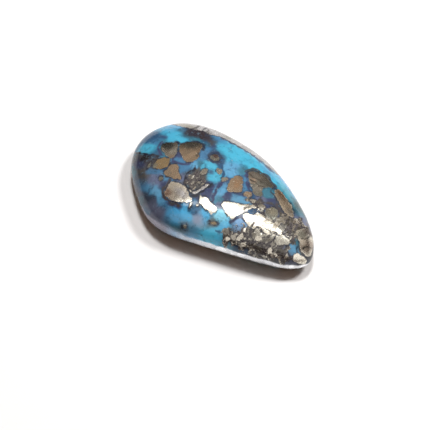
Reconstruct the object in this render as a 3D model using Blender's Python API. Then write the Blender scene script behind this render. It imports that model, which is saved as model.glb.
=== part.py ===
"""A polished, pear-shaped turquoise stone: one solid with a low dome, a girdle and a flat lapped back.

The origin is under the middle of the stone, on the surface that it rests on. +X runs along the stone to
its tip, +Y towards its fuller side and +Z up, out of the dome. All lengths are in metres.
"""

import math

import bmesh
import bpy
import numpy as np

MM = 0.001

# The size of the finished stone
LENGTH = 28.0 * MM
GIRDLE_HEIGHT = 1.5 * MM
DOME_RISE = 4.35 * MM

# Under the girdle the stone is drawn in to its flat back: by how much, and the leans from upright of the
# curve that it follows
BACK_INSET = 1.9 * MM
EDGE_LEAN = math.radians(38)
BACK_LEAN = math.radians(80)

# The girdle seen from above: (degrees from the tip's direction, distance from the crown as a share of the
# length). It was ground by eye, so one side is nearly straight and the other is full.
GIRDLE = (
    (0, 0.483),
    (14, 0.465),
    (35, 0.381),
    (65, 0.324),
    (95, 0.331),
    (125, 0.391),
    (155, 0.504),
    (180, 0.500),
    (205, 0.393),
    (235, 0.313),
    (265, 0.240),
    (295, 0.219),
    (325, 0.265),
    (346, 0.376),
)

# How finely the stone is faceted
SEGMENTS = 120
OUTLINE_STEPS = 1440
DOME_RINGS = 17
BACK_RINGS = 4
SMOOTH_UNDER = math.radians(40)

TURQUOISE = (0.055, 0.29, 0.44, 1.0)
POLISH_ROUGHNESS = 0.12


def closed_curve(knots, values, at):
    """The smooth closed curve through the values at the knots, in radians, read at other angles."""
    count = len(knots)
    gap = np.diff(knots, append=knots[0] + 2 * math.pi)
    rise = np.diff(values, append=values[0]) / gap
    system = np.zeros((count, count))
    for i in range(count):
        before, after = (i - 1) % count, (i + 1) % count
        system[i, before] = gap[before]
        system[i, i] = 2 * (gap[before] + gap[i])
        system[i, after] = gap[i]
    bend = np.linalg.solve(system, 6 * (rise - np.roll(rise, 1)))
    i = np.searchsorted(knots, at, side="right") - 1
    after = (i + 1) % count
    t = at - knots[i]
    slope = rise[i] - gap[i] * (2 * bend[i] + bend[after]) / 6
    return values[i] + t * (slope + t * (bend[i] / 2 + t * (bend[after] - bend[i]) / (6 * gap[i])))


def girdle_points():
    """Evenly spaced points round the girdle, from above, with the crown at (0, 0)."""
    degrees, shares = np.array(GIRDLE, float).T
    turn = np.linspace(0, 2 * math.pi, OUTLINE_STEPS, endpoint=False)
    reach = closed_curve(np.radians(degrees), shares, turn)
    outline = np.column_stack([reach * np.cos(turn), reach * np.sin(turn)])
    outline *= LENGTH / np.ptp(outline[:, 0])

    closed = np.vstack([outline, outline[:1]])
    travel = np.append(0, np.cumsum(np.linalg.norm(np.diff(closed, axis=0), axis=1)))
    stops = np.linspace(0, travel[-1], SEGMENTS, endpoint=False)
    return np.column_stack([np.interp(stops, travel, closed[:, axis]) for axis in (0, 1)])


def extrude_rim(mesh, rim, height, shrink=1.0, inset=0.0):
    """Extrude a ring of edges to another height, drawn in towards the crown's axis; the new rim."""
    made = bmesh.ops.extrude_edge_only(mesh, edges=rim)["geom"]
    for vert in (part for part in made if isinstance(part, bmesh.types.BMVert)):
        reach = vert.co.xy.length
        vert.co.xy *= shrink * (reach - inset) / reach
        vert.co.z = height
    return [part for part in made if isinstance(part, bmesh.types.BMEdge) and part.is_boundary]


def add_dome(mesh, rim):
    """A quarter of an ellipse from the girdle up to the crown."""
    leans = np.linspace(math.pi / 2, 0, DOME_RINGS + 1)
    for lean, next_lean in zip(leans[:-2], leans[1:-1]):
        height = GIRDLE_HEIGHT + DOME_RISE * math.cos(next_lean)
        rim = extrude_rim(mesh, rim, height, shrink=math.sin(next_lean) / math.sin(lean))
    crown_height = GIRDLE_HEIGHT + DOME_RISE
    rim = extrude_rim(mesh, rim, crown_height)
    last = list({vert for edge in rim for vert in edge.verts})
    bmesh.ops.pointmerge(mesh, verts=last, merge_co=(0, 0, crown_height))


def add_back(mesh, rim):
    """A curved undercut from the girdle down to the flat back, and the back's one face."""
    leans = np.linspace(EDGE_LEAN, BACK_LEAN, BACK_RINGS + 1)
    insets = BACK_INSET * (math.cos(EDGE_LEAN) - np.cos(leans)) / (math.cos(EDGE_LEAN) - math.cos(BACK_LEAN))
    drops = (np.sin(leans) - math.sin(EDGE_LEAN)) / (math.sin(BACK_LEAN) - math.sin(EDGE_LEAN))
    heights = GIRDLE_HEIGHT * (1 - drops)
    for i in range(BACK_RINGS):
        rim = extrude_rim(mesh, rim, heights[i + 1], inset=insets[i + 1] - insets[i])
    bmesh.ops.contextual_create(mesh, geom=rim)


def polished_turquoise():
    material = bpy.data.materials.new("polished_turquoise")
    material.use_nodes = True
    shader = material.node_tree.nodes["Principled BSDF"]
    shader.inputs["Base Color"].default_value = TURQUOISE
    shader.inputs["Roughness"].default_value = POLISH_ROUGHNESS
    return material


def make_stone():
    mesh = bmesh.new()
    ring = [mesh.verts.new((x, y, GIRDLE_HEIGHT)) for x, y in girdle_points()]
    girdle = [mesh.edges.new(pair) for pair in zip(ring, ring[1:] + ring[:1])]
    add_dome(mesh, girdle)
    add_back(mesh, girdle)
    bmesh.ops.recalc_face_normals(mesh, faces=mesh.faces)

    places = np.array([vert.co.xy for vert in mesh.verts])
    middle = (places.min(axis=0) + places.max(axis=0)) / 2
    bmesh.ops.translate(mesh, verts=mesh.verts, vec=(-middle[0], -middle[1], 0))

    data = bpy.data.meshes.new("stone")
    mesh.to_mesh(data)
    mesh.free()
    data.shade_smooth()
    data.set_sharp_from_angle(angle=SMOOTH_UNDER)
    data.materials.append(polished_turquoise())
    stone = bpy.data.objects.new("stone", data)
    bpy.context.scene.collection.objects.link(stone)


def main():
    for leftover in list(bpy.data.objects):
        bpy.data.objects.remove(leftover)
    make_stone()


main()
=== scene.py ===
"""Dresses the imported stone: its fine polished surface with pyrite flakes in blue turquoise, on a pale floor.

Tables are in millimetres on the stone's own plan, seen from above: +X to the tip, +Y to the fuller side.
"""

import math

import bpy
import numpy as np
from mathutils import Matrix, Vector


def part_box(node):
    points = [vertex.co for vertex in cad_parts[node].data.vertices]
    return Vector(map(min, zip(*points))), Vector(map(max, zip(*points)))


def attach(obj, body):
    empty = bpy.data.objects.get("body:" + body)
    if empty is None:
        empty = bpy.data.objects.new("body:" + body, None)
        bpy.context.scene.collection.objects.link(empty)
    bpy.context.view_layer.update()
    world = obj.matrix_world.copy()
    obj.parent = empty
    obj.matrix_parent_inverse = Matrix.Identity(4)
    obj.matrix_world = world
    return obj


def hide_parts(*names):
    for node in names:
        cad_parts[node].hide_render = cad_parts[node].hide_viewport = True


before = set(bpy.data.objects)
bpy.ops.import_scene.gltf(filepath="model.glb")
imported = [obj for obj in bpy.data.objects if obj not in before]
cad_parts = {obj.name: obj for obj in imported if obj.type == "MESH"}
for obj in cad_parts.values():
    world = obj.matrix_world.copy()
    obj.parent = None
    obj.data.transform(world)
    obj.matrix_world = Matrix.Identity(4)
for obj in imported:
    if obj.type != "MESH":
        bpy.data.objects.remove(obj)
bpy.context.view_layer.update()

MM = 0.001

# The stone's form, the same as the solid's. The girdle is (degrees from the tip's direction, distance from
# the crown as a share of the length), fitted to the outline in the photo.
GIRDLE_HEIGHT = 1.5
DOME_RISE = 4.35
BACK_INSET = 1.9
EDGE_LEAN = math.radians(38)
BACK_LEAN = math.radians(80)
GIRDLE = (
    (0, 0.483),
    (14, 0.465),
    (35, 0.381),
    (65, 0.324),
    (95, 0.331),
    (125, 0.391),
    (155, 0.504),
    (180, 0.500),
    (205, 0.393),
    (235, 0.313),
    (265, 0.240),
    (295, 0.219),
    (325, 0.265),
    (346, 0.376),
)

# How fine the skin is: on the dome, each ring has one more point in every sector than the last
SECTORS = 8
DOME_RINGS = 118
EDGE_RINGS = 16
BACK_SHARES = (0.985, 0.95, 0.88, 0.75, 0.55, 0.3)
OUTLINE_STEPS = 1440
AVERAGE_REACH = 9.0

# What polishing leaves: gentle waves, flakes that stand a little proud of the softer stone round them,
# and pits in the peppered rock
WAVE_DEPTH = 0.012
FLAKE_RELIEF = 0.012
PIT_DEPTH = 0.02

# The photo's frame, and where the crown's foot at girdle height stands in it
PHOTO_PIXELS = 430
CROWN_PIXEL = (218.9, 207.8)
PIXELS_PER_MM = 8.04
CAMERA_AZIMUTH = math.radians(40.6)
CAMERA_ELEVATION = math.radians(55)
CAMERA_DISTANCE = 204.7 * MM
SENSOR_WIDTH = 36.0

# The floor and the light
FLOOR_SIZE = 1.6
FLOOR_COLOUR = (0.82, 0.82, 0.82)
FLOOR_ROUGHNESS = 0.5
WHITE = (1.0, 1.0, 1.0)
WARM = (1.0, 0.95, 0.88)
WORLD_COLOUR = (0.13, 0.086, 0.066)

# The height under the girdle over which the polish gives way to the lapped back
BACK_FADE = 0.35

# The finish: refraction, roughness of each surface, how metallic it is, and the bump in millimetres
STONE_IOR = 1.52
STONE_ROUGHNESS = 0.09
PYRITE_ROUGHNESS = 0.24
UNEVEN_ROUGHNESS = 0.07
LAPPED_ROUGHNESS = 0.45
PYRITE_METALLIC = 0.92
LAPPED_METALLIC = 0.15
BUMP_STRENGTH = 0.35
BUMP_DEPTH = 0.012


def linear(red, green, blue):
    """A colour as 0 to 255 on a screen, turned into the linear values that shaders take."""
    screen = np.array([red, green, blue]) / 255
    return np.where(screen <= 0.04045, screen / 12.92, ((screen + 0.055) / 1.055) ** 2.4)


# Turquoise, and the dark rock between it
AQUA = linear(140, 222, 248)
AZURE = linear(90, 190, 240)
CYAN = linear(70, 163, 192)
SKY = linear(86, 148, 184)
BLUE = linear(62, 112, 148)
TEAL = linear(50, 104, 122)
DEEP = linear(36, 72, 104)
NAVY = linear(50, 58, 90)
INK = linear(28, 31, 42)
SLATE = linear(92, 98, 120)
CHALK = linear(94, 104, 132)
BROWN = linear(64, 58, 58)
UMBER = linear(74, 72, 68)

# Pyrite, clean and tarnished, and partly painted reflection: the tone each flake is given, from olive to pale,
# follows how brightly it mirrors the lights and the room
OLIVE = linear(150, 152, 142)
GREY = linear(176, 172, 160)
GOLD = linear(184, 160, 120)
TAN = linear(180, 160, 136)
BEIGE = linear(230, 224, 208)
SILVER = linear(204, 203, 202)
PALE = linear(250, 246, 230)
TARNISH = linear(98, 96, 90)

# Soft patches of the stone between the flakes: (x, y, half length, half width, turn in degrees, colour).
# Each one's weight falls off with distance, over a faint even base.
PATCHES = (
    (-11.4, -1.2, 1.4, 0.8, 8, CYAN),
    (-12.9, -0.8, 0.4, 1.2, 0, DEEP),
    (-10.3, 2.4, 1.8, 0.85, -14, linear(66, 158, 190)),
    (-11.2, 3.3, 1.0, 0.6, 20, SKY),
    (-9.2, 2.1, 0.9, 0.45, -20, CYAN),
    (-12.1, 0.9, 0.8, 1.1, 0, DEEP),
    (-11.3, 0.1, 0.7, 0.5, 0, BLUE),
    (-10.9, 1.4, 0.42, 0.36, 0, NAVY),
    (-9.9, 0.4, 0.7, 0.6, 0, TEAL),
    (-9.9, -1.2, 0.5, 0.8, 30, DEEP),
    (-11.2, -2.5, 1.8, 0.42, 4, BROWN),
    (-10.0, -2.4, 1.1, 0.6, 0, linear(40, 38, 42)),
    (-9.3, -2.9, 0.6, 0.6, 0, BROWN),
    (-10.5, -3.5, 0.7, 0.4, -30, NAVY),
    (-9.4, -4.5, 1.2, 0.55, -30, UMBER),
    (-10.9, -4.5, 0.8, 0.3, -35, TEAL),
    (-7.6, -7.0, 0.7, 0.3, -15, TEAL),
    (-5.9, -7.7, 0.6, 0.25, -8, BLUE),
    (-9.6, -5.9, 0.5, 0.3, -30, UMBER),
    (-9.8, -5.2, 0.8, 0.3, -30, DEEP),
    (-8.2, -3.6, 0.7, 0.35, 0, BLUE),
    (-7.1, -4.6, 0.9, 0.5, 0, CHALK),
    (-7.8, -5.6, 1.2, 0.45, -10, BLUE),
    (-6.6, -5.5, 0.9, 0.4, 0, SKY),
    (-5.7, -4.2, 0.5, 0.7, 10, NAVY),
    (-5.9, -3.7, 0.5, 0.22, 0, SKY),
    (-5.0, -6.1, 1.2, 0.35, -25, SKY),
    (-3.7, -6.5, 0.9, 0.4, -15, BLUE),
    (-6.5, -6.6, 1.2, 0.4, -8, linear(48, 58, 72)),
    (-4.4, -7.3, 1.9, 0.5, -6, SLATE),
    (-8.4, -6.3, 0.9, 0.3, -25, SLATE),
    (-2.5, -5.95, 1.1, 0.25, 8, NAVY),
    (-1.7, -6.8, 1.1, 0.55, 15, linear(74, 166, 216)),
    (-0.7, -6.0, 0.7, 0.5, 0, AZURE),
    (-0.9, -7.4, 1.0, 0.3, 12, TEAL),
    (-0.3, -5.0, 0.6, 0.5, 0, BLUE),
    (-6.6, -0.8, 0.5, 0.5, -20, BLUE),
    (-5.0, -1.1, 0.6, 0.6, -30, BLUE),
    (-4.5, -0.4, 0.4, 0.45, 0, SKY),
    (-4.0, -2.6, 0.4, 0.5, 0, CHALK),
    (-3.9, 0.4, 0.3, 0.3, 0, TEAL),
    (-0.6, -2.3, 0.45, 0.9, 5, NAVY),
    (-1.2, 0.0, 0.75, 0.5, -10, CYAN),
    (-8.8, 3.6, 0.95, 0.7, 10, linear(48, 42, 46)),
    (-7.6, 4.2, 0.7, 0.5, 20, linear(48, 42, 46)),
    (-6.5, 4.7, 1.2, 0.5, 0, linear(48, 42, 46)),
    (-5.4, 4.2, 0.7, 0.5, -20, BROWN),
    (-4.6, 3.9, 0.35, 0.5, 0, NAVY),
    (-7.0, 3.35, 1.3, 0.3, 10, TEAL),
    (-6.0, 3.6, 0.5, 0.25, 0, DEEP),
    (-5.0, 5.3, 1.0, 0.5, 5, BLUE),
    (-4.6, 2.2, 0.4, 1.0, 12, BLUE),
    (-3.25, 2.4, 0.95, 0.85, 0, linear(50, 66, 90)),
    (-2.9, 5.0, 1.5, 1.0, 0, CYAN),
    (-1.4, 4.3, 1.3, 0.9, -10, CYAN),
    (-0.6, 2.9, 0.7, 0.9, 0, SKY),
    (-0.1, 2.0, 0.5, 0.5, 0, SKY),
    (0.6, 5.3, 1.7, 0.8, 0, CYAN),
    (2.6, 5.8, 1.2, 0.4, -5, SKY),
    (4.3, 5.7, 1.3, 0.5, -12, CYAN),
    (6.1, 5.1, 1.5, 0.5, -24, linear(56, 134, 150)),
    (7.6, 4.3, 0.7, 0.35, -35, linear(70, 124, 140)),
    (4.9, 6.5, 2.2, 0.35, -22, SKY),
    (0.4, 3.4, 0.4, 0.7, 0, TEAL),
    (8.3, 4.6, 1.0, 0.7, -35, linear(38, 60, 54)),
    (9.2, 4.0, 0.8, 0.5, -35, TEAL),
    (10.3, 3.0, 0.7, 0.8, -40, SLATE),
    (-2.7, 1.0, 0.85, 0.45, 0, CYAN),
    (-1.9, 1.7, 0.3, 0.6, 35, DEEP),
    (0.8, -1.2, 0.45, 0.95, 15, SKY),
    (0.2, 0.0, 0.35, 0.6, 0, NAVY),
    (-6.9, -0.2, 0.3, 0.5, 20, NAVY),
    (-1.9, 0.2, 0.4, 0.3, 0, NAVY),
    (2.9, -0.1, 0.5, 0.2, 10, NAVY),
    (3.2, -0.6, 0.75, 0.4, 12, linear(84, 138, 170)),
    (1.9, -1.1, 0.35, 0.5, 0, NAVY),
    (1.3, -2.2, 0.4, 0.35, 0, TEAL),
    (2.0, -2.8, 0.35, 0.3, 0, CHALK),
    # From here the aqua, azure and bright blue patches, the chalky one at (0.9, -5.5) and the sky-blue one at
    # (5.3, -2.95) are painted lighter than the stone's own blue: painted light on the near slope
    (3.1, -3.75, 0.75, 0.4, 0, AQUA),
    (4.0, -4.7, 0.6, 0.9, 10, AZURE),
    (3.4, -5.7, 1.5, 0.8, 22, linear(92, 214, 255)),
    (1.4, -4.9, 0.6, 0.4, 0, AZURE),
    (0.9, -7.2, 1.0, 0.3, 14, linear(86, 170, 220)),
    (0.9, -5.5, 0.65, 0.5, 0, linear(148, 164, 190)),
    (0.6, -6.6, 0.9, 0.35, 15, SKY),
    (-0.1, -7.0, 0.65, 0.42, 10, linear(104, 112, 118)),
    (2.6, -4.8, 0.7, 0.42, 25, linear(108, 112, 106)),
    (5.3, -2.95, 0.8, 0.65, -25, linear(136, 182, 226)),
    (6.2, -3.2, 0.3, 0.25, 0, INK),
    (5.1, -4.6, 0.75, 0.6, 20, UMBER),
    (6.6, -3.9, 0.9, 0.5, 20, UMBER),
    (7.2, -4.5, 0.9, 0.28, 20, DEEP),
    (11.95, -1.05, 0.6, 0.45, -10, SKY),
    (11.6, 0.0, 0.4, 0.4, -30, TEAL),
    (11.3, -1.9, 0.6, 0.4, 30, SLATE),
    (12.6, -1.9, 0.5, 0.3, 30, SLATE),
    (2.5, 1.5, 0.6, 0.35, -50, BLUE),
    (4.9, 2.7, 0.6, 0.45, 20, TEAL),
    (6.1, 2.0, 0.5, 0.6, 0, NAVY),
    (5.4, 1.4, 0.5, 0.4, 0, SLATE),
    (8.2, 1.9, 1.3, 0.4, -5, BROWN),
    (9.4, 1.5, 0.8, 0.6, 0, SLATE),
    (10.0, 0.5, 1.0, 0.8, 0, UMBER),
    (8.4, -3.0, 2.0, 0.7, 18, UMBER),
    (12.2, 1.4, 1.0, 1.2, 0, UMBER),
    (-2.9, -2.0, 0.9, 0.9, 0, UMBER),
    (-12.6, 5.0, 0.8, 0.4, 40, SKY),
    (-10.0, 6.9, 1.0, 0.3, 30, CYAN),
    (-7.2, 7.8, 0.8, 0.3, 15, UMBER),
    (-5.4, 8.1, 0.6, 0.25, 5, TEAL),
    (-3.0, 8.25, 1.2, 0.25, 0, SKY),
    (-0.9, 8.3, 0.5, 0.25, 0, BROWN),
    (0.7, 8.15, 0.8, 0.25, -5, CYAN),
    (2.8, 7.7, 0.7, 0.3, -15, SLATE),
)
PATCH_BASE = 0.002
PATCH_FALL = 1.15

# Dark veins in the stone: half width, colour, and the points that each runs through
VEINS = (
    (0.3, linear(32, 28, 28), (-10.8, -2.4), (-10.1, -2.2), (-9.4, -2.3)),
    (0.24, linear(62, 70, 74), (0.95, 3.3), (1.3, 4.1), (1.95, 4.7), (3.0, 4.92), (4.05, 4.65),
     (4.85, 4.4)),
    (0.08, linear(52, 58, 66), (4.85, 4.4), (4.9, 3.8), (5.1, 3.2), (5.9, 3.0), (7.2, 2.4), (8.2, 1.9)),
    (0.12, NAVY, (1.2, 3.3), (1.7, 2.6), (2.3, 2.05), (3.0, 1.45), (3.5, 1.25)),
    (0.12, linear(44, 56, 74), (-4.05, 2.1), (-4.0, 2.7), (-3.5, 3.15), (-2.9, 3.15), (-2.4, 2.8),
     (-2.3, 2.2), (-2.8, 1.65), (-3.6, 1.6), (-4.05, 2.1)),
    (0.13, DEEP, (-2.3, 2.7), (-1.8, 2.0), (-1.3, 1.5), (-0.7, 1.1), (-0.3, 0.4)),
    (0.11, DEEP, (-5.2, 6.0), (-3.5, 6.3), (-1.8, 6.45), (0.0, 6.55), (1.6, 6.45), (3.0, 6.35)),
    (0.1, INK, (-12.9, -2.0), (-11.6, -2.05), (-10.3, -1.95), (-9.2, -1.6)),
    (0.12, linear(36, 42, 54), (-8.9, 1.4), (-8.1, 1.5), (-7.4, 2.5), (-6.6, 3.1), (-5.7, 3.15), (-5.1, 2.4)),
    (0.08, NAVY, (-10.4, 0.5), (-10.3, -0.4), (-9.4, -1.05), (-8.6, -1.25)),
    (0.1, BROWN, (-5.4, -3.6), (-5.25, -4.4), (-5.3, -5.1), (-4.6, -5.75), (-3.4, -5.95), (-2.2, -5.7)),
    (0.06, linear(36, 104, 140), (3.35, -5.2), (3.8, -5.0)),
    (0.13, NAVY, (4.3, -3.5), (4.6, -2.9), (4.9, -2.3), (5.5, -2.45)),
    (0.12, INK, (6.3, -3.6), (6.6, -3.0), (7.4, -3.0), (8.5, -2.75)),
    (0.12, INK, (9.9, 3.4), (10.2, 2.6), (10.6, 1.8), (10.6, 0.9), (11.2, 0.2), (11.4, -0.4)),
    (0.1, INK, (11.2, -1.0), (11.5, -1.6), (12.1, -1.75), (12.6, -1.5), (12.75, -1.0), (12.3, -0.5)),
    (0.13, NAVY, (0.1, 0.0), (0.2, -1.2), (0.6, -2.3), (0.9, -2.9)),
    (0.12, NAVY, (1.6, -0.9), (2.0, -1.6), (2.2, -1.9)),
    (0.1, INK, (-4.2, -0.2), (-3.8, -0.9), (-4.3, -1.8), (-4.0, -2.4), (-3.4, -3.1), (-2.2, -3.5)),
    (0.09, INK, (-0.75, -1.3), (-0.85, -2.5), (-1.15, -3.6), (-1.7, -3.95)),
    (0.12, BROWN, (5.0, 1.1), (5.7, 1.0), (6.4, 1.7), (7.2, 1.85), (8.3, 1.6), (8.5, 0.9)),
    (0.1, NAVY, (-7.4, -0.5), (-7.0, -1.3), (-6.3, -1.25), (-5.5, -1.0), (-4.8, 0.0)),
)
VEIN_BLUR = 0.14

# Large flakes of pyrite: colour, and the corners of the outline seen from above
FLAKES = (
    (GOLD, (-8.9, -2.9), (-8.75, -1.9), (-8.3, -1.35), (-7.6, -1.2), (-7.15, -1.7), (-7.0, -2.3),
     (-7.25, -2.75), (-7.7, -3.1), (-8.6, -3.25)),
    (TAN, (-6.9, -1.95), (-6.6, -1.6), (-6.0, -1.4), (-5.6, -1.7), (-5.35, -2.15), (-4.6, -2.5),
     (-4.3, -2.9), (-4.75, -3.15), (-5.4, -3.3), (-6.2, -3.45), (-6.85, -3.25), (-6.75, -2.6)),
    (BEIGE, (-5.1, -3.7), (-4.3, -3.45), (-3.2, -3.35), (-2.4, -3.7), (-1.7, -4.1), (-1.05, -4.3),
     (-1.25, -4.75), (-1.9, -5.1), (-2.6, -5.5), (-3.4, -5.7), (-4.3, -5.6), (-5.0, -5.35),
     (-4.95, -4.7), (-5.15, -4.1)),
    (TAN, (-8.2, 1.25), (-7.6, 2.2), (-6.9, 2.85), (-6.2, 3.1), (-5.7, 2.9), (-5.35, 2.1), (-5.15, 1.5),
     (-4.8, 1.2), (-4.65, 0.7), (-4.85, 0.1), (-5.0, -0.1), (-5.35, -0.4), (-5.8, -0.45), (-6.3, -0.15),
     (-6.8, 0.1), (-7.3, 0.35), (-7.75, 0.8)),
    (GREY, (-8.5, 1.35), (-7.95, 0.75), (-7.5, 0.05), (-7.25, -0.45), (-7.35, -0.95), (-7.7, -1.15),
     (-8.4, -1.0), (-9.2, -0.75), (-9.9, -0.3), (-10.1, 0.2), (-9.6, 0.9), (-9.0, 1.25)),
    (OLIVE, (-3.85, 2.2), (-3.6, 2.85), (-3.1, 2.95), (-2.65, 2.65), (-2.55, 2.2), (-2.9, 1.85),
     (-3.5, 1.75)),
    (SILVER, (-1.2, -1.4), (-0.85, -1.45), (-0.95, -2.2), (-1.15, -3.0), (-1.4, -3.45), (-1.75, -3.65),
     (-1.9, -3.5), (-1.5, -3.0), (-1.3, -2.2)),
    (GREY, (-3.0, -0.8), (-3.05, 0.0), (-2.6, 0.3), (-2.25, -0.2), (-2.4, -0.85)),
    (BEIGE, (-0.8, -3.35), (0.0, -3.0), (0.8, -3.15), (1.5, -3.2), (2.05, -3.3), (2.1, -3.8),
     (1.95, -4.35), (1.0, -4.2), (0.0, -4.1), (-0.5, -3.8)),
    (GREY, (-1.95, 1.2), (-1.35, 1.45), (-0.85, 1.0), (-0.8, 0.6), (-1.5, 0.65)),
    (GREY, (-0.5, 0.3), (-0.1, 0.85), (0.35, 0.75), (0.35, 0.3), (0.0, -0.05)),
    (TAN, (0.5, 1.3), (0.75, 2.1), (1.2, 2.25), (1.7, 1.95), (2.15, 1.3), (2.8, 0.4), (2.55, 0.05),
     (1.95, -0.45), (1.45, -0.85), (1.05, -0.35), (0.75, 0.3)),
    (BEIGE, (2.0, -2.1), (3.0, -1.5), (4.0, -1.0), (4.8, -0.3), (5.4, 0.0), (5.5, -0.3), (5.1, -0.9),
     (4.95, -1.5), (4.7, -2.1), (4.5, -2.6), (4.3, -3.3), (3.3, -3.1), (2.5, -2.8), (2.0, -2.55)),
    (BEIGE, (4.95, -1.7), (5.4, -1.4), (6.05, -1.25), (6.2, -0.7), (6.6, -0.35), (7.2, -0.4),
     (7.6, -0.6), (8.0, -0.3), (9.0, -0.25), (9.9, -0.35), (10.1, -0.95), (9.0, -0.95), (8.9, -1.9),
     (8.1, -2.05), (7.6, -1.7), (7.2, -1.9), (7.1, -2.5), (6.4, -2.6), (6.0, -2.5), (5.5, -2.3),
     (5.0, -2.15)),
    (GREY, (10.15, -0.65), (10.8, -0.45), (11.4, -0.55), (11.3, -1.1), (10.9, -1.5), (10.5, -1.95),
     (9.9, -1.9), (9.6, -1.3), (9.95, -1.0)),
    (GREY, (7.2, -2.75), (7.3, -2.1), (8.1, -2.2), (8.9, -2.0), (8.5, -2.5), (7.9, -2.8)),
    (OLIVE, (1.25, 3.4), (1.5, 4.1), (2.1, 4.55), (3.0, 4.75), (4.0, 4.5), (4.75, 4.25), (4.7, 3.75),
     (4.35, 3.3), (4.2, 2.9), (4.4, 2.3), (4.85, 1.95), (4.9, 1.5), (4.3, 1.2), (3.7, 1.35),
     (3.3, 1.8), (2.8, 2.15), (2.2, 2.4), (1.8, 2.9)),
    (TAN, (3.05, 0.4), (3.15, 0.95), (3.6, 1.2), (4.05, 0.9), (3.95, 0.3), (3.4, 0.1)),
    (linear(226, 212, 186), (5.3, 4.4), (6.0, 4.35), (6.9, 4.1), (7.6, 3.75), (8.4, 3.4), (9.0, 2.9),
     (9.45, 2.3), (8.8, 2.0), (8.0, 2.1), (7.2, 2.45), (6.3, 2.95), (5.6, 3.3), (5.2, 3.85)),
    (OLIVE, (6.55, 0.7), (6.85, 1.5), (7.4, 1.6), (8.0, 1.2), (8.2, 0.6), (8.05, -0.05), (7.4, -0.25),
     (6.75, -0.05)),
    (GREY, (4.25, 0.05), (4.4, 0.55), (4.85, 0.7), (5.05, 0.35), (4.8, 0.0)),
    (BEIGE, (4.7, -0.35), (5.2, -0.1), (5.6, 0.0), (5.5, -0.3), (5.0, -0.5)),
    (GREY, (5.5, 0.25), (5.7, 0.8), (6.2, 0.85), (6.4, 0.35), (6.0, 0.05)),
    (BEIGE, (10.8, 1.0), (10.95, 1.9), (11.2, 2.9), (11.7, 3.1), (12.3, 2.7), (12.9, 2.1), (13.4, 1.3),
     (13.75, 0.5), (13.6, -0.25), (12.6, -0.3), (12.1, 0.2), (11.5, 0.65)),
    # The pale flake at the tip is painted brighter than the pyrite round it, as painted glints
    (PALE, (12.6, -0.9), (13.2, -0.65), (13.8, -0.3), (13.9, -0.8), (13.4, -1.4), (12.9, -1.75),
     (12.5, -1.55)),
    # The long pale grey flake along the far edge is painted reflection of the floor behind the stone, laid as
    # pale metal where the edge mirrors it
    (linear(190, 189, 190), (-12.4, 4.5), (-11.5, 4.25), (-10.6, 4.3), (-9.7, 4.45), (-8.9, 4.75),
     (-8.3, 4.9), (-7.8, 5.45), (-7.0, 5.25), (-6.2, 5.6), (-5.4, 6.15), (-4.4, 6.3), (-3.2, 6.4),
     (-1.6, 6.6), (0.2, 6.75), (1.8, 6.65), (3.4, 6.75), (3.7, 7.3), (1.8, 7.75), (0.3, 8.0), (-1.3, 8.1),
     (-3.0, 8.05), (-4.8, 7.9), (-6.9, 7.6), (-9.1, 6.95), (-11.3, 5.75), (-12.7, 4.7)),
)

# Tarnish, and painted reflection, that fade out inside the flakes: the darker and paler parts stand partly for
# tarnish and partly for the brighter and dimmer surroundings each flake mirrors. (x, y, half length, half
# width, turn, colour)
STAINS_AND_REFLECTIONS = (
    (-7.0, 2.3, 1.5, 0.9, 40, linear(106, 106, 98)),
    (-9.4, 0.4, 1.1, 0.8, 20, linear(82, 90, 86)),
    (-7.6, -0.9, 0.4, 0.4, 0, TAN),
    (-4.6, -5.1, 0.7, 0.5, -10, linear(180, 150, 130)),
    (-3.0, -4.3, 1.1, 0.5, -10, SILVER),
    (-8.7, -3.0, 0.5, 0.4, 0, OLIVE),
    (-3.3, 2.6, 0.4, 0.3, 0, linear(116, 92, 90)),
    (1.6, 0.9, 0.8, 0.4, -60, linear(188, 156, 124)),
    (1.7, 3.5, 0.5, 0.4, 40, linear(150, 124, 116)),
    (2.4, 3.8, 1.2, 0.6, 20, GREY),
    (2.5, 2.8, 0.5, 0.5, 0, linear(214, 192, 170)),
    (3.8, 2.4, 0.6, 0.8, 0, GREY),
    (6.2, 3.9, 0.9, 0.3, -20, linear(182, 154, 122)),
    (8.6, 2.6, 0.7, 0.4, -30, GREY),
    (7.2, 0.9, 0.7, 0.6, 0, linear(162, 158, 140)),
    (11.5, 1.4, 0.6, 0.7, 0, linear(176, 178, 166)),
    (12.9, 1.3, 0.6, 1.0, 0, linear(168, 156, 144)),
    (11.7, 2.6, 0.6, 0.6, 0, linear(92, 80, 74)),
    (-4.9, 7.0, 0.6, 0.45, 20, OLIVE),
    (-10.3, 5.0, 1.4, 0.5, 10, GREY),
)

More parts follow.
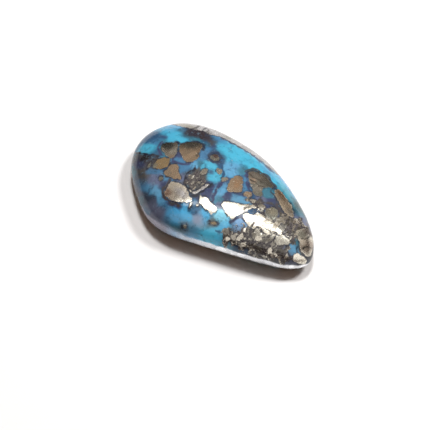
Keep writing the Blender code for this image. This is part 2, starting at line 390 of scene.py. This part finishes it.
# Dark cracks that cross the flakes: half width, colour, and the points that each runs through
CRACKS = (
    (0.07, INK, (-6.95, -1.7), (-6.85, -2.3), (-7.05, -2.85), (-6.9, -3.3)),
    (0.05, BROWN, (-4.9, 0.95), (-5.2, 1.15), (-5.25, 1.6)),
    (0.09, BROWN, (-9.15, 4.7), (-8.9, 5.3), (-9.1, 6.1)),
    (0.08, INK, (-8.3, 4.6), (-7.75, 5.1), (-8.0, 5.8), (-8.25, 6.5)),
    (0.05, INK, (-7.6, 4.9), (-7.3, 5.5), (-7.6, 6.3)),
    (0.06, BROWN, (6.6, -1.9), (6.75, -2.3), (6.6, -2.6)),
    (0.06, BROWN, (7.6, -1.9), (7.75, -2.15)),
    (0.06, BROWN, (7.2, -1.45), (7.9, -1.55), (8.6, -1.4), (9.1, -1.5)),
    (0.05, linear(108, 102, 94), (1.5, 3.4), (2.2, 3.2), (2.6, 3.5), (3.4, 3.4)),
    (0.05, linear(108, 102, 94), (2.2, 2.6), (3.0, 2.9), (3.6, 2.6), (4.0, 3.1)),
    (0.05, UMBER, (11.9, 0.9), (12.2, 1.5), (12.1, 2.2)),
    (0.05, UMBER, (12.7, 0.1), (12.9, 0.8), (13.2, 1.2)),
    (0.05, BROWN, (4.9, -0.6), (4.6, -1.2), (4.9, -1.8)),
)

CRACK_BLUR = 0.05

# Small flakes: (x, y, half length, half width, turn in degrees, colour)
SMALL_FLAKES = (
    (-6.55, -4.0, 0.32, 0.28, 0, OLIVE),
    (-9.3, -3.15, 0.18, 0.42, 10, OLIVE),
    (-8.7, -6.4, 0.3, 0.16, -30, OLIVE),
    (-0.95, -4.85, 0.1, 0.32, 20, BEIGE),
    (-2.2, -3.5, 0.25, 0.1, -20, BEIGE),
    (2.65, -4.8, 0.4, 0.18, 25, linear(150, 134, 108)),
    (-0.1, -6.9, 0.28, 0.16, 10, OLIVE),
    (8.7, 0.7, 0.45, 0.6, 0, GREY),
    (-2.0, -2.0, 0.12, 0.2, 20, GREY),
    # The next two small pale flakes are painted glints
    (2.9, 1.95, 0.16, 0.13, 0, BEIGE),
    (8.1, 3.6, 0.3, 0.1, -45, BEIGE),
    (6.7, -4.5, 0.4, 0.12, 20, GREY),
    (-0.2, -4.4, 0.15, 0.12, 0, BEIGE),
)

# Where the stone is dark rock peppered with pyrite: (x, y, half length, half width, turn in degrees)
PEPPERED = (
    (8.3, -3.1, 3.3, 1.1, 20),
    (10.4, 0.8, 1.2, 2.3, 5),
    (10.6, 2.4, 1.0, 0.9, -40),
    (-2.8, -1.9, 1.1, 1.1, -30),
    (5.6, -4.4, 1.6, 0.7, 22),
    (8.6, -0.9, 2.6, 1.3, 0),
    (11.6, -2.2, 1.2, 0.6, 25),
    (5.6, 0.3, 1.6, 0.6, 10),
    (9.0, 1.2, 0.9, 0.9, 0),
)

# The pale band over the girdle, metallic so that it reflects for real, with its tone painted as the white
# floor's reflection:
# greyer to the left, where the floor it mirrors lies in the stone's shadow, as painted shade, and near white
# to the right.
# (degrees round the crown, height of its top in millimetres), then (x, how softly it ends) and (x, its tone)
SHEEN_BAND_TOPS = (
    (0, 0.45),
    (8, -0.5),
    (206, -0.5),
    (216, 0.1),
    (226, 0.5),
    (238, 0.95),
    (251, 1.25),
    (262, 1.15),
    (275, 0.85),
    (300, 0.9),
    (345, 0.75),
    (360, 0.45),
)
SHEEN_BAND_BLURS = ((-6.0, 0.2), (-2.0, 0.5), (3.0, 0.15))
SHEEN_BAND_TONES = (
    (-6.0, linear(158, 154, 164)),
    (-2.5, linear(132, 131, 143)),
    (-1.0, linear(137, 162, 186)),
    (0.5, linear(194, 203, 214)),
    (5.0, linear(250, 252, 255)),
)

# How far the normal turns from grain to grain, and on a flake as a share of that
GRAIN_GLITTER = 0.3
FLAKE_GLITTER = 0.2

# The noise: the first seed, and how many waves are added up
SEED = 7
WAVES = 24

# On steep sides the plan is squeezed, so what is laid on it is pushed about less there, down to this share
STEEPEST = 0.15


def closed_curve(knots, values, at):
    """The smooth closed curve through the values at the knots, in radians, read at other angles."""
    count = len(knots)
    gap = np.diff(knots, append=knots[0] + 2 * math.pi)
    rise = np.diff(values, append=values[0]) / gap
    system = np.zeros((count, count))
    for i in range(count):
        before, after = (i - 1) % count, (i + 1) % count
        system[i, before] = gap[before]
        system[i, i] = 2 * (gap[before] + gap[i])
        system[i, after] = gap[i]
    bend = np.linalg.solve(system, 6 * (rise - np.roll(rise, 1)))
    i = np.searchsorted(knots, at, side="right") - 1
    after = (i + 1) % count
    t = at - knots[i]
    slope = rise[i] - gap[i] * (2 * bend[i] + bend[after]) / 6
    return values[i] + t * (slope + t * (bend[i] / 2 + t * (bend[after] - bend[i]) / (6 * gap[i])))


class Stone:
    """The stone's form in millimetres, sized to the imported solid's box."""

    def __init__(self):
        low, high = (np.array(corner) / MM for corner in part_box("stone"))
        degrees, self.shares = np.array(GIRDLE, float).T
        self.knots = np.radians(degrees)
        self.scale = 1
        rough = self.girdle(np.linspace(0, 2 * math.pi, OUTLINE_STEPS, endpoint=False))
        self.scale = (high - low)[:2] / np.ptp(rough, axis=0)
        self.crown = (low + high)[:2] / 2 - (rough.min(axis=0) + rough.max(axis=0)) / 2 * self.scale

    def girdle(self, turn):
        """The girdle's points from the crown's axis, at these turns."""
        reach = closed_curve(self.knots, self.shares, turn)[:, None]
        return np.column_stack([np.cos(turn), np.sin(turn)]) * reach * self.scale


def arc_leans():
    """Leans from the crown to the girdle, evenly spaced along an average section of the dome."""
    lean = np.linspace(0, math.pi / 2, 2000)
    step = np.hypot(np.diff(AVERAGE_REACH * np.sin(lean)), np.diff(DOME_RISE * np.cos(lean)))
    travel = np.append(0, np.cumsum(step))
    return np.interp(np.linspace(0, travel[-1], DOME_RINGS + 1), travel, lean)


def undercut(lean):
    """How far in from the girdle and how high its underside is, where it leans this much from upright."""
    inset = BACK_INSET * (math.cos(EDGE_LEAN) - math.cos(lean))
    inset /= math.cos(EDGE_LEAN) - math.cos(BACK_LEAN)
    drop = (math.sin(lean) - math.sin(EDGE_LEAN)) / (math.sin(BACK_LEAN) - math.sin(EDGE_LEAN))
    return inset, GIRDLE_HEIGHT * (1 - drop)


def add_dome(stone, points, triangles):
    """Rings from the crown to the girdle; the number that the next point would have."""
    points.append([[0, 0, GIRDLE_HEIGHT + DOME_RISE]])
    start = 1
    for k, lean in enumerate(arc_leans()[1:], 1):
        count = SECTORS * k
        ring = stone.girdle(np.arange(count) * 2 * math.pi / count) * math.sin(lean)
        height = GIRDLE_HEIGHT + DOME_RISE * math.cos(lean)
        points.append(np.column_stack([ring, np.full(count, height)]))
        outer = start + np.arange(count).reshape(SECTORS, k)
        outer_next = start + (np.arange(count) + 1).reshape(SECTORS, k) % count
        if k == 1:
            inner = np.zeros((SECTORS, 1), int)
        else:
            inner_count = SECTORS * (k - 1)
            step = np.arange(SECTORS)[:, None] * (k - 1) + np.arange(k)
            inner = start - inner_count + step % inner_count
        triangles.append(np.stack([inner, outer, outer_next], -1).reshape(-1, 3))
        if k > 1:
            between = np.stack([inner[:, :-1], outer_next[:, :-1], inner[:, 1:]], -1)
            triangles.append(between.reshape(-1, 3))
        start += count
    return start


def add_back(stone, points, triangles, start):
    """Rings under the girdle, in along the undercut and across the flat back to its middle."""
    count = SECTORS * DOME_RINGS
    here = np.arange(count)
    after = (here + 1) % count
    girdle = stone.girdle(here * 2 * math.pi / count)
    reach = np.linalg.norm(girdle, axis=1)[:, None]
    rings = []
    for lean in np.linspace(EDGE_LEAN, BACK_LEAN, EDGE_RINGS + 1)[1:]:
        inset, height = undercut(lean)
        rings.append(np.column_stack([girdle * (1 - inset / reach), np.full(count, height)]))
    rings += [rings[-1] * (share, share, 1) for share in BACK_SHARES]
    above = start - count
    for ring in rings:
        points.append(ring)
        triangles.append(np.stack([above + here, start + here, start + after], -1))
        triangles.append(np.stack([above + here, start + after, above + after], -1))
        above = start
        start += count
    points.append([[0, 0, 0]])
    triangles.append(np.stack([above + here, np.full(count, start), above + after], -1))


def skin_geometry(stone):
    """The skin's points in millimetres and its triangles, from the crown down to the middle of the back."""
    points, triangles = [], []
    start = add_dome(stone, points, triangles)
    add_back(stone, points, triangles, start)
    return np.vstack(points), np.vstack(triangles)


def smooth_noise(points, wavelength, seed):
    """Gentle noise of about -1 to 1, from waves in all directions."""
    draw = np.random.default_rng(seed)
    way = draw.normal(size=(WAVES, points.shape[1]))
    way /= np.linalg.norm(way, axis=1)[:, None]
    number = 2 * math.pi / (wavelength * draw.uniform(0.7, 1.6, WAVES))
    phase = draw.uniform(0, 2 * math.pi, WAVES)
    return np.sin(points @ (way * number[:, None]).T + phase).sum(axis=1) / math.sqrt(WAVES)


def warped(plan, amount, wavelength, seed):
    """The plan pushed about by noise, by one amount or by one for each point."""
    shift = [smooth_noise(plan, wavelength, seed + axis) for axis in (0, 1)]
    return plan + np.reshape(amount, (-1, 1)) * np.column_stack(shift)


def ellipse_distance(plan, x, y, half_length, half_width, turn):
    """How far out each point is, with 1 on the ellipse."""
    angle = math.radians(turn)
    away = plan - (x, y)
    along = away @ (math.cos(angle), math.sin(angle)) / half_length
    across = away @ (-math.sin(angle), math.cos(angle)) / half_width
    return np.hypot(along, across)


def rounded(corners):
    """The outline with its corners cut off."""
    after = np.roll(corners, -1, axis=0)
    cut = np.stack([0.85 * corners + 0.15 * after, 0.15 * corners + 0.85 * after], axis=1)
    return cut.reshape(-1, 2)


def outline_distance(plan, corners):
    """The distance from a closed outline, negative inside it."""
    start, end = corners, np.roll(corners, -1, axis=0)
    side = end - start
    away = plan[:, None] - start
    share = np.clip((away * side).sum(-1) / (side**2).sum(-1), 0, 1)
    distance = np.linalg.norm(away - share[..., None] * side, axis=-1).min(axis=1)
    above = (start[:, 1] > plan[:, None, 1]) != (end[:, 1] > plan[:, None, 1])
    run = np.where(side[:, 1] == 0, 1, side[:, 1])
    crossing = start[:, 0] + (plan[:, None, 1] - start[:, 1]) * side[:, 0] / run
    inside = (above & (plan[:, None, 0] < crossing)).sum(axis=1) % 2 == 1
    return np.where(inside, -distance, distance)


def path_distance(plan, points):
    """The distance from a line through the points."""
    points = np.array(points)
    start, side = points[:-1], np.diff(points, axis=0)
    away = plan[:, None] - start
    share = np.clip((away * side).sum(-1) / (side**2).sum(-1), 0, 1)
    return np.linalg.norm(away - share[..., None] * side, axis=-1).min(axis=1)


def draw_lines(plan, flat, lines, blur, colour, seed):
    """The colours with dark lines drawn over them, thicker in some places than in others."""
    wobbly = warped(plan, 0.06 * flat, 0.7, seed)
    swell = 1 + 0.5 * smooth_noise(plan, 1.3, seed + 5)
    for half_width, tone, *points in lines:
        distance = path_distance(wobbly, points) / swell.clip(0.3, 2)
        share = np.clip((half_width + blur - distance) / blur, 0, 1)[:, None]
        colour = colour * (1 - share) + tone * share
    return colour


def flake_fields(plan, flat):
    """The distance from the nearest flake in millimetres, negative inside it, and that flake's colour."""
    place = warped(warped(plan, 0.05 * flat, 0.6, SEED), 0.025 * flat, 0.22, SEED + 3)
    flakes = [(tone, outline_distance(place, rounded(np.array(corners)))) for tone, *corners in FLAKES]
    for x, y, half_length, half_width, turn, tone in SMALL_FLAKES:
        out = ellipse_distance(place, x, y, half_length, half_width, turn) - 1
        flakes.append((tone, out * min(half_length, half_width)))

    nearest = np.full(len(plan), 9.0)
    colour = np.tile(TAN, (len(plan), 1))
    for tone, distance in flakes:
        closer = distance < nearest
        nearest[closer] = distance[closer]
        colour[closer] = tone
    # Tarnish and painted reflection laid inside the flakes
    for x, y, half_length, half_width, turn, tone in STAINS_AND_REFLECTIONS:
        out = ellipse_distance(place, x, y, half_length, half_width, turn)
        share = np.clip(1.6 - 1.2 * out, 0, 1)[:, None]
        colour = colour * (1 - share) + tone * share
    return nearest, draw_lines(plan, flat, CRACKS, CRACK_BLUR, colour, SEED + 60)


def patch_colours(plan, flat):
    """The stone's own colour between the flakes, each patch fading softly into the next."""
    place = warped(plan, 0.16 * flat, 1.6, SEED + 10)
    place = warped(place, 0.06 * flat, 0.5, SEED + 20)
    total = np.full(len(plan), PATCH_BASE)
    colour = PATCH_BASE * np.tile(DEEP, (len(plan), 1))
    for x, y, half_length, half_width, turn, tone in PATCHES:
        out = ellipse_distance(place, x, y, half_length, half_width, turn)
        weight = np.exp(-PATCH_FALL * out**2)
        total += weight
        colour += weight[:, None] * tone
    return draw_lines(plan, flat, VEINS, VEIN_BLUR, colour / total[:, None], SEED + 70)


def sheen_band_field(placed, crown):
    """The band just over the girdle, painted pale as the floor's reflection: 1 on it, 0 off it, with a ragged
    upper edge; and its tone, greyer to the left as painted shade.
    """
    turn = np.degrees(np.arctan2(placed[:, 1] - crown[1], placed[:, 0] - crown[0])) % 360
    top = np.interp(turn, *np.array(SHEEN_BAND_TOPS).T)
    top += 0.06 * smooth_noise(placed, 1.4, SEED + 80)
    top += 0.03 * smooth_noise(placed, 0.3, SEED + 81)
    blur = np.interp(placed[:, 0], *np.array(SHEEN_BAND_BLURS).T)
    share = np.clip((GIRDLE_HEIGHT + top - placed[:, 2]) / blur + 0.5, 0, 1)
    places, tones = zip(*SHEEN_BAND_TONES)
    colour = np.column_stack([np.interp(placed[:, 0], places, channel) for channel in zip(*tones)])
    return share, colour


def pepper_field(plan):
    """How much of the rock is dark and peppered with pyrite, from 0 to 1."""
    plan = warped(plan, 0.3, 1.2, SEED + 30)
    most = np.zeros(len(plan))
    for spot in PEPPERED:
        most = np.maximum(most, np.clip(2.2 - 1.7 * ellipse_distance(plan, *spot), 0, 1))
    return most


def give(mesh, name, values):
    """Store one value or colour for each point of the mesh."""
    if values.ndim == 1:
        layer = mesh.attributes.new(name, "FLOAT", "POINT")
        layer.data.foreach_set("value", values.astype(np.float32))
    else:
        layer = mesh.attributes.new(name, "FLOAT_COLOR", "POINT")
        opaque = np.column_stack([values, np.ones(len(values))])
        layer.data.foreach_set("color", opaque.astype(np.float32).ravel())


def make_skin():
    stone = Stone()
    points, triangles = skin_geometry(stone)
    plan = points[:, :2] + stone.crown
    placed = np.column_stack([plan, points[:, 2]])

    mesh = bpy.data.meshes.new("polished_skin")
    mesh.from_pydata(placed * MM, [], triangles)
    mesh.shade_smooth()
    mesh.update()
    normals = np.empty(len(points) * 3, np.float32)
    mesh.vertex_normals.foreach_get("vector", normals)
    normals = normals.reshape(-1, 3)

    flat = normals[:, 2].clip(STEEPEST, 1)
    edge, flake_colour = flake_fields(plan, flat)
    pepper = pepper_field(plan)
    below = np.clip((GIRDLE_HEIGHT - points[:, 2]) / BACK_FADE, 0, 1)
    # The band over the girdle, painted as the floor's reflection, with painted shade to the left
    sheen_band, sheen_band_colour = sheen_band_field(placed, stone.crown)
    inset = WAVE_DEPTH * (1 + smooth_noise(placed, 3.5, SEED + 40)).clip(0, 2)
    inset += FLAKE_RELIEF * np.clip(0.5 + edge / 0.12, 0, 1) * (1 - below)
    inset += PIT_DEPTH * pepper * np.clip(smooth_noise(placed, 0.5, SEED + 50), 0, 1)
    placed -= normals * inset[:, None]
    placed[:, 2] = placed[:, 2].clip(0, None)
    mesh.vertices.foreach_set("co", (placed * MM).astype(np.float32).ravel())
    mesh.update()

    give(mesh, "tint", patch_colours(plan, flat))
    give(mesh, "flake_edge", edge)
    give(mesh, "flake_tint", flake_colour)
    give(mesh, "pepper", pepper)
    give(mesh, "below", below)
    give(mesh, "sheen_band", sheen_band)
    give(mesh, "sheen_band_tint", sheen_band_colour)
    skin = bpy.data.objects.new("polished_skin", mesh)
    bpy.context.scene.collection.objects.link(skin)
    return skin


class Nodes:
    """Short names for the shader nodes of one material."""

    def __init__(self, material):
        material.use_nodes = True
        self.tree = material.node_tree
        self.shader = self.tree.nodes["Principled BSDF"]

    def add(self, kind, **settings):
        node = self.tree.nodes.new(kind)
        for name, value in settings.items():
            setattr(node, name, value)
        return node

    def plug(self, value, socket):
        """Link a socket to another, or set it to a number or colour."""
        if isinstance(value, bpy.types.NodeSocket):
            self.tree.links.new(value, socket)
        elif socket.type == "RGBA":
            socket.default_value = (*value, 1)
        else:
            socket.default_value = value

    def read(self, name, output="Fac"):
        return self.add("ShaderNodeAttribute", attribute_name=name).outputs[output]

    def math(self, operation, first, second):
        node = self.add("ShaderNodeMath", operation=operation)
        self.plug(first, node.inputs[0])
        self.plug(second, node.inputs[1])
        return node.outputs[0]

    def fade(self, value, start, end, low=0.0, high=1.0):
        """Smoothly from low, where the value is start, to high, where it is end."""
        node = self.add("ShaderNodeMapRange", interpolation_type="SMOOTHSTEP")
        for socket, number in zip(node.inputs, (value, start, end, low, high)):
            self.plug(number, socket)
        return node.outputs[0]

    def mix(self, share, first, second):
        node = self.add("ShaderNodeMix", data_type="RGBA")
        colours = [socket for socket in node.inputs if socket.type == "RGBA"]
        self.plug(share, node.inputs[0])
        self.plug(first, colours[0])
        self.plug(second, colours[1])
        return next(socket for socket in node.outputs if socket.type == "RGBA")

    def noise(self, size, detail, distortion=0.0):
        """Noise with features of about this size in millimetres."""
        node = self.add("ShaderNodeTexNoise")
        self.plug(self.place(), node.inputs["Vector"])
        self.plug(1 / (size * MM), node.inputs["Scale"])
        self.plug(detail, node.inputs["Detail"])
        self.plug(distortion, node.inputs["Distortion"])
        return node

    def cells(self, size, feature="F1", place=None):
        node = self.add("ShaderNodeTexVoronoi", feature=feature)
        self.plug(place or self.place(), node.inputs["Vector"])
        self.plug(1 / (size * MM), node.inputs["Scale"])
        return node

    def grains(self, size, place, wanted, brightest):
        """Angular grains, of which only the wanted share is kept: where they are, and their random tones."""
        random = self.cells(size, place=place).outputs["Color"]
        gap = self.cells(size, "DISTANCE_TO_EDGE", place=place).outputs["Distance"]
        split = self.add("ShaderNodeSeparateColor")
        self.plug(random, split.inputs[0])
        chosen = self.fade(split.outputs[0], wanted + 0.02, wanted - 0.02)
        clear = self.fade(gap, 0.03, 0.1)
        return {"random": random, "share": self.math("MULTIPLY", chosen, clear), "blocks": split.outputs[2],
                "tone": self.fade(split.outputs[1], 0.1, brightest)}

    def tilted(self, random, share):
        """The surface's normal, turned a little at random from grain to grain so that they glitter."""
        centred = self.add("ShaderNodeVectorMath", operation="SUBTRACT")
        self.plug(random, centred.inputs[0])
        self.plug((0.5, 0.5, 0.5), centred.inputs[1])
        turned = self.add("ShaderNodeVectorMath", operation="SCALE")
        self.plug(centred.outputs[0], turned.inputs[0])
        self.plug(self.math("MULTIPLY", share, GRAIN_GLITTER), turned.inputs["Scale"])
        total = self.add("ShaderNodeVectorMath", operation="ADD")
        self.plug(self.add("ShaderNodeNewGeometry").outputs["Normal"], total.inputs[0])
        self.plug(turned.outputs[0], total.inputs[1])
        normal = self.add("ShaderNodeVectorMath", operation="NORMALIZE")
        self.plug(total.outputs[0], normal.inputs[0])
        return normal.outputs[0]

    def place(self):
        return self.add("ShaderNodeTexCoord").outputs["Object"]

    def stretched(self, place, scale):
        """The place scaled along each axis, so that what is laid on it grows longer where that is below 1."""
        node = self.add("ShaderNodeVectorMath", operation="MULTIPLY")
        self.plug(place, node.inputs[0])
        self.plug(scale, node.inputs[1])
        return node.outputs[0]

    def shifted(self, size, amount):
        """The place, pushed about by noise, so that what is laid on it isn't straight."""
        noise = self.noise(size, 2.0).outputs["Color"]
        node = self.add("ShaderNodeVectorMath", operation="MULTIPLY_ADD")
        self.plug(noise, node.inputs[0])
        self.plug((amount * MM,) * 3, node.inputs[1])
        self.plug(self.place(), node.inputs[2])
        return node.outputs[0]


class StonePaint(Nodes):
    """Glassy turquoise, with flush flakes of pyrite, peppered dark rock and a matte lapped back.

    Each part of it gives its colour and its share of the surface.
    """

    def __init__(self, material):
        super().__init__(material)
        self.fine = self.noise(0.14, 4.0).outputs["Fac"]
        self.cloud = self.noise(0.8, 6.0, 0.6).outputs["Fac"]
        self.smoke = self.noise(0.4, 5.0, 1.2).outputs["Fac"]
        place = self.stretched(self.shifted(0.35, 0.16), (1.0, 0.5, 1.0))
        self.large = self.grains(0.62, place, 0.42, 0.92)
        self.small = self.grains(0.27, place, 0.5, 0.95)

    def turquoise(self):
        """Clouds of darker stone, paler wisps and fine dark threads over the blue patches."""
        tint = self.read("tint", "Color")
        tint = self.mix(self.fade(self.cloud, 0.45, 0.75, 0.0, 0.4), tint, DEEP * 0.7)
        tint = self.mix(self.fade(self.smoke, 0.56, 0.75, 0.0, 0.22), tint, linear(150, 196, 214))
        gap = self.cells(1.3, "DISTANCE_TO_EDGE", self.shifted(0.5, 0.9)).outputs["Distance"]
        thread = self.fade(gap, 0.05, 0.0, 0.0, 0.4)
        return self.mix(self.math("MULTIPLY", thread, self.fade(self.cloud, 0.5, 0.62)), tint, INK)

    def rock(self):
        """The dark rock between the grains."""
        ragged = self.math("ADD", self.read("pepper"), self.fade(self.smoke, 0.2, 0.8, -0.45, 0.45))
        colour = self.mix(self.fade(self.fine, 0.3, 0.7), linear(30, 30, 38), linear(98, 92, 90))
        return colour, self.fade(ragged, 0.35, 0.6)

    def grains_in_rock(self, rock_share):
        """Grains of pyrite, large and small, each of its own brightness."""
        small = self.mix(self.small["tone"], TARNISH, GREY)
        large = self.mix(self.large["tone"], TARNISH, BEIGE * 0.8)
        share = self.math("MAXIMUM", self.large["share"], self.small["share"])
        return self.mix(self.large["share"], small, large), self.math("MULTIPLY", share, rock_share)

    def flakes(self):
        """Flakes of pyrite, tarnished, with dark spots and with pale specks painted as glints; also the share
        of their thin dark rims.
        """
        uneven = self.fade(self.fine, 0.25, 0.75, -0.035, 0.035)
        edge = self.math("ADD", self.read("flake_edge"), uneven)
        near = self.fade(edge, 0.24, 0.06, 0.0, 0.9)
        rim_share = self.math("MULTIPLY", near, self.fade(self.cloud, 0.4, 0.6, 0.3, 1.0))

        colour = self.read("flake_tint", "Color")
        colour = self.mix(self.fade(self.smoke, 0.5, 0.72, 0.0, 0.4), colour, OLIVE * 0.8)
        colour = self.mix(self.fade(self.fine, 0.55, 0.8, 0.0, 0.25), colour, SILVER)
        colour = self.mix(self.fade(self.large["blocks"], 0.0, 1.0, 0.0, 0.3), colour, TARNISH)
        dark_spots = self.fade(self.cells(0.45).outputs["Distance"], 0.16, 0.06, 0.0, 0.4)
        colour = self.mix(dark_spots, colour, linear(84, 72, 58))
        # Pale specks on the flakes: painted glints
        middle = self.fade(self.cells(0.34).outputs["Distance"], 0.28, 0.12)
        glint_specks = self.math("MULTIPLY", self.grains(0.34, self.place(), 0.25, 1.0)["share"], middle)
        colour = self.mix(self.math("MULTIPLY", glint_specks, 0.7), colour, PALE)
        return colour, self.fade(edge, 0.03, -0.06), rim_share

    def painted_sheen_band(self):
        """The pale band over the girdle, painted as the floor's reflection, in blocks of its own tone."""
        blocks = self.grains(0.9, self.shifted(0.4, 0.3), 1.0, 1.45)["tone"]
        dull = self.fade(blocks, 0.0, 1.0, 0.4, 0.0)
        colour = self.mix(dull, self.read("sheen_band_tint", "Color"), linear(120, 122, 128))
        return colour, self.math("MULTIPLY", self.read("sheen_band"), self.fade(self.fine, 0.15, 0.3))

    def back(self):
        """The lapped back and the edge under the girdle: brown host rock with blue and pale grains in it."""
        ragged = self.math("ADD", self.read("below"), self.fade(self.cloud, 0.3, 0.7, -0.25, 0.25))
        lumps = self.fade(self.noise(1.1, 6.0).outputs["Fac"], 0.35, 0.65)
        colour = self.mix(lumps, linear(66, 52, 44), linear(122, 104, 88))
        blue_share = self.fade(self.noise(3.2, 4.0, 0.8).outputs["Fac"], 0.52, 0.6, 0.0, 0.8)
        colour = self.mix(blue_share, colour, linear(84, 132, 146))
        grain_share = self.math("MULTIPLY", self.small["share"], 0.35)
        return self.mix(grain_share, colour, linear(150, 134, 108)), self.fade(ragged, 0.3, 0.75)

    def roughness(self, metal, back_share):
        """Polished stone and pyrite, each a little uneven, and the matte back."""
        polish = self.fade(metal, 0.0, 1.0, STONE_ROUGHNESS, PYRITE_ROUGHNESS)
        polish = self.math("ADD", polish, self.fade(self.fine, 0.3, 0.8, 0.0, UNEVEN_ROUGHNESS))
        return self.math("ADD", polish, self.fade(back_share, 0.0, 1.0, 0.0, LAPPED_ROUGHNESS))

    def normal(self, grain_share, flake_share):
        """The normal, turned from grain to grain, with flakes proud of the stone and a fine grain."""
        glitter = self.math("MAXIMUM", grain_share, self.math("MULTIPLY", flake_share, FLAKE_GLITTER))
        proud = self.fade(flake_share, 0.0, 1.0, 0.0, 0.6)
        bump = self.add("ShaderNodeBump")
        self.plug(BUMP_STRENGTH, bump.inputs["Strength"])
        self.plug(BUMP_DEPTH * MM, bump.inputs["Distance"])
        self.plug(self.math("ADD", proud, self.fade(self.fine, 0.3, 0.7, 0.0, 0.2)), bump.inputs["Height"])
        self.plug(self.tilted(self.large["random"], glitter), bump.inputs["Normal"])
        return bump.outputs[0]


def stone_material():
    material = bpy.data.materials.new("turquoise_with_pyrite")
    paint = StonePaint(material)
    rock, rock_share = paint.rock()
    grains, grain_share = paint.grains_in_rock(rock_share)
    flakes, flake_share, rim_share = paint.flakes()
    # The band over the girdle, painted as the floor's reflection
    sheen_colour, sheen_share = paint.painted_sheen_band()
    back, back_share = paint.back()

    colour = paint.mix(rock_share, paint.turquoise(), rock)
    colour = paint.mix(rim_share, colour, INK)
    colour = paint.mix(grain_share, colour, grains)
    colour = paint.mix(flake_share, colour, flakes)
    colour = paint.mix(sheen_share, colour, sheen_colour)
    colour = paint.mix(back_share, colour, back)
    metal = paint.math("MAXIMUM", paint.math("MAXIMUM", flake_share, grain_share), sheen_share)
    metallic = paint.fade(back_share, 0.0, 1.0, PYRITE_METALLIC, LAPPED_METALLIC)
    metal = paint.math("MULTIPLY", metal, metallic)

    paint.plug(colour, paint.shader.inputs["Base Color"])
    paint.plug(metal, paint.shader.inputs["Metallic"])
    paint.plug(paint.roughness(metal, back_share), paint.shader.inputs["Roughness"])
    paint.plug(paint.normal(grain_share, flake_share), paint.shader.inputs["Normal"])
    paint.shader.inputs["IOR"].default_value = STONE_IOR
    return material


def make_floor():
    bpy.ops.mesh.primitive_plane_add(size=FLOOR_SIZE)
    floor = bpy.context.object
    floor.name = "floor"
    material = bpy.data.materials.new("pale_floor")
    material.use_nodes = True
    shader = material.node_tree.nodes["Principled BSDF"]
    shader.inputs["Base Color"].default_value = (*FLOOR_COLOUR, 1)
    shader.inputs["Roughness"].default_value = FLOOR_ROUGHNESS
    floor.data.materials.append(material)


def camera_axes():
    """The camera's right, up and back directions."""
    right = Vector((math.cos(CAMERA_AZIMUTH), math.sin(CAMERA_AZIMUTH), 0))
    level = Vector((-math.sin(CAMERA_AZIMUTH), math.cos(CAMERA_AZIMUTH), 0))
    up = level * math.sin(CAMERA_ELEVATION) + Vector((0, 0, math.cos(CAMERA_ELEVATION)))
    return right, up, right.cross(up)


def make_camera(crown):
    """Looks at the stone as the photo does, with the crown's foot on its pixel."""
    right, up, back = camera_axes()
    foot = Vector((*crown, GIRDLE_HEIGHT)) * MM
    middle = PHOTO_PIXELS / 2
    pixel = MM / PIXELS_PER_MM
    aim = foot + right * (middle - CROWN_PIXEL[0]) * pixel - up * (middle - CROWN_PIXEL[1]) * pixel
    data = bpy.data.cameras.new("camera")
    data.sensor_width = SENSOR_WIDTH
    data.lens = SENSOR_WIDTH * CAMERA_DISTANCE / (PHOTO_PIXELS * pixel)
    data.clip_start = 0.01
    camera = bpy.data.objects.new("camera", data)
    turn = Matrix((right, up, back)).transposed().to_4x4()
    camera.matrix_world = Matrix.Translation(aim + back * CAMERA_DISTANCE) @ turn
    bpy.context.scene.collection.objects.link(camera)
    bpy.context.scene.camera = camera


def add_light(name, lean_right, lean_back, distance, size, brightness, colour=WHITE, glossy=True,
              diffuse=True):
    """A soft light aimed at the stone, leaning from straight above to the camera's right and away from it."""
    right, _, _ = camera_axes()
    away = Vector((-math.sin(CAMERA_AZIMUTH), math.cos(CAMERA_AZIMUTH), 0))
    way = Vector((0, 0, 1)) + right * math.tan(math.radians(lean_right))
    way = (way + away * math.tan(math.radians(lean_back))).normalized()
    data = bpy.data.lights.new(name, "AREA")
    data.shape = "RECTANGLE"
    data.size, data.size_y = size
    data.color = colour
    data.energy = brightness * math.pi * size[0] * size[1]
    light = bpy.data.objects.new(name, data)
    side = right - way * right.dot(way)
    side.normalize()
    turn = Matrix((side, way.cross(side), way)).transposed().to_4x4()
    light.matrix_world = Matrix.Translation(way * distance) @ turn
    light.visible_glossy = glossy
    light.visible_diffuse = diffuse
    bpy.context.scene.collection.objects.link(light)


def make_lights():
    add_light("back_key", 1.5, 24, 0.4, (0.08, 0.08), 62, glossy=False)
    add_light("right_key", 36, 23, 0.4, (0.08, 0.08), 58, glossy=False)
    add_light("softbox", 7, 2, 0.28, (0.34, 0.25), 1.0, diffuse=False)
    add_light("left_strip", -11, -2, 0.25, (0.16, 0.04), 6, diffuse=False)
    add_light("right_strip", 14, 7, 0.25, (0.16, 0.045), 6, diffuse=False)
    add_light("front_card", 20, -46, 0.35, (1.5, 0.27), 0.95, diffuse=False)
    add_light("back_card", 5, 42, 0.5, (1.9, 0.3), 0.46, WARM, diffuse=False)


def make_world():
    world = bpy.data.worlds.new("studio")
    world.use_nodes = True
    background = world.node_tree.nodes["Background"]
    background.inputs["Color"].default_value = (*WORLD_COLOUR, 1)
    background.inputs["Strength"].default_value = 1.0
    bpy.context.scene.world = world
    bpy.context.scene.view_settings.view_transform = "Standard"


skin = make_skin()
skin.data.materials.append(stone_material())
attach(skin, "root")
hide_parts("stone")
make_floor()
make_camera(Stone().crown)
make_lights()
make_world()
